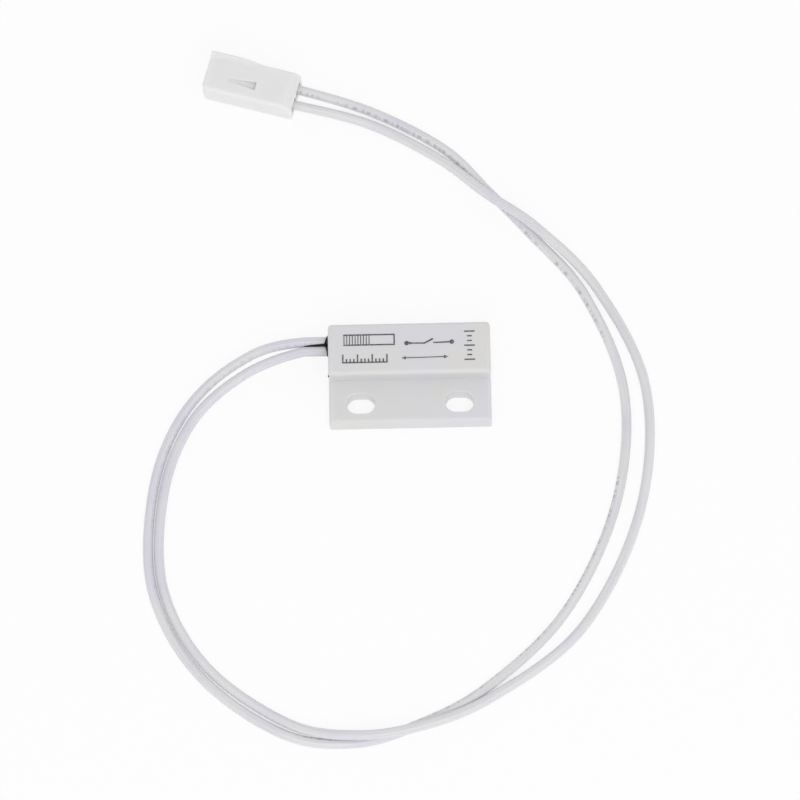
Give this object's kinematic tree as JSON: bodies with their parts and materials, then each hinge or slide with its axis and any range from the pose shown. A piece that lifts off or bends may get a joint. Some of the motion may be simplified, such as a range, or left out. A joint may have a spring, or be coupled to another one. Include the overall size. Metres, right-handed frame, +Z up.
{
  "type": "water tank level sensor",
  "caption": "Flange-mounted magnetic reed sensor in a stepped moulded housing, with two thin insulated leads that end in a small two-way socket plug.",
  "frame": {"origin": "on the underside, midway between the centres of the two mounting slots", "axes": "+X along the housing away from the wire exit, +Y from the flange's front edge to the raised body, +Z up out of the flange"},
  "size_m": [0.0724, 0.1033, 0.0059],
  "materials": {
    "housing_moulding": "fine-grained moulded white polyester",
    "resin": "poured black epoxy resin",
    "glass": "drawn soda-lime tube, fused ends",
    "blade_metal": "nickel-iron wire, pressed flat inside the glass",
    "solder": "flowed tin solder",
    "tinned_strands": "tinned copper strands",
    "wire_insulation": "extruded white vinyl with a faint lilac cast",
    "contact_metal": "tin-plated phosphor bronze sheet",
    "plug_moulding": "moulded natural nylon"
  },
  "bodies": {
    "root": {"housing": "housing_moulding", "potting": "resin", "reed_glass": "glass", "reed_blade_near": "blade_metal", "reed_blade_far": "blade_metal", "solder_near": "solder", "solder_far": "solder", "conductor_a_reed": "tinned_strands", "conductor_b_reed": "tinned_strands", "wire_a": "wire_insulation", "wire_b": "wire_insulation", "conductor_a_plug": "tinned_strands", "conductor_b_plug": "tinned_strands", "terminal_a": "contact_metal", "terminal_b": "contact_metal", "plug_housing": "plug_moulding"}
  },
  "joints": []
}
